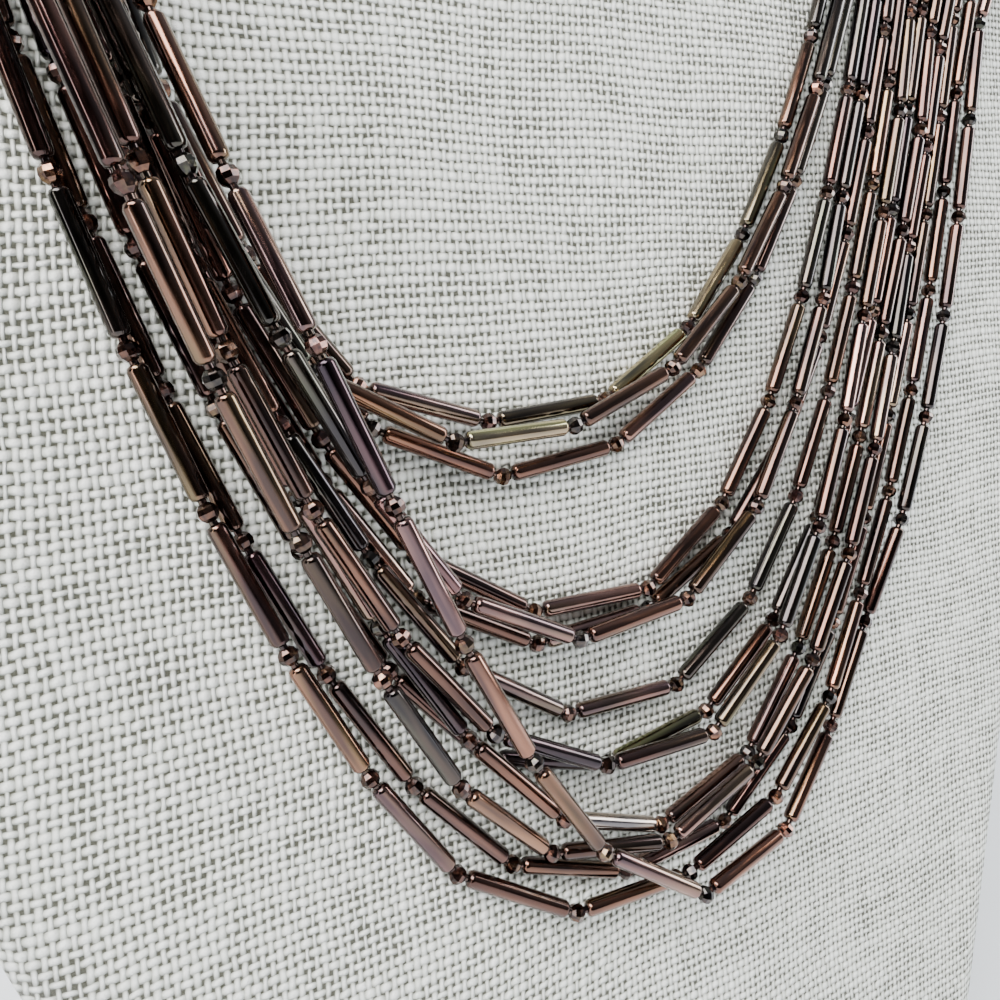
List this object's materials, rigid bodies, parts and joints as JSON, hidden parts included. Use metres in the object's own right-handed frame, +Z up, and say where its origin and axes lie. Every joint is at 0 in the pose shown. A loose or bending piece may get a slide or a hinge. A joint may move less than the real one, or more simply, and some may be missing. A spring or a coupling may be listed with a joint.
{
  "type": "multi strand bead necklace on a display board",
  "caption": "Graduated multi strand necklace of long metal-coated glass tube beads, laid over a leaning cloth-covered bust board with a back strut.",
  "frame": {"origin": "middle of the footprint, on the surface the stand rests on", "axes": "+X to the viewer's right, -Y towards the viewer, +Z up; the board leans back towards +Y"},
  "size_m": [0.2084, 0.096, 0.2865],
  "materials": {
    "bead_glass": "metal-coated glass in plum, bronze, copper, gunmetal and olive, glossy",
    "bead_thread": "dark twisted thread",
    "fastening_metal": "darkened, satin",
    "board_cloth": "pale plain-woven linen, matt",
    "strut_board": "pale painted board, matt"
  },
  "bodies": {
    "root": {"display_board": "board_cloth", "back_strut": "strut_board", "end_bar_left": "fastening_metal", "end_bar_right": "fastening_metal", "clasp": "fastening_metal", "strand_1": "bead_glass", "strand_2": "bead_glass", "strand_3": "bead_glass", "strand_4": "bead_glass", "strand_5": "bead_glass", "strand_6": "bead_glass", "strand_7": "bead_glass", "strand_8": "bead_glass", "strand_9": "bead_glass", "strand_10": "bead_glass", "strand_11": "bead_glass", "strand_12": "bead_glass", "strand_13": "bead_glass", "strand_14": "bead_glass", "thread_1": "bead_thread", "thread_2": "bead_thread", "thread_3": "bead_thread", "thread_4": "bead_thread", "thread_5": "bead_thread", "thread_6": "bead_thread", "thread_7": "bead_thread", "thread_8": "bead_thread"}
  },
  "joints": []
}
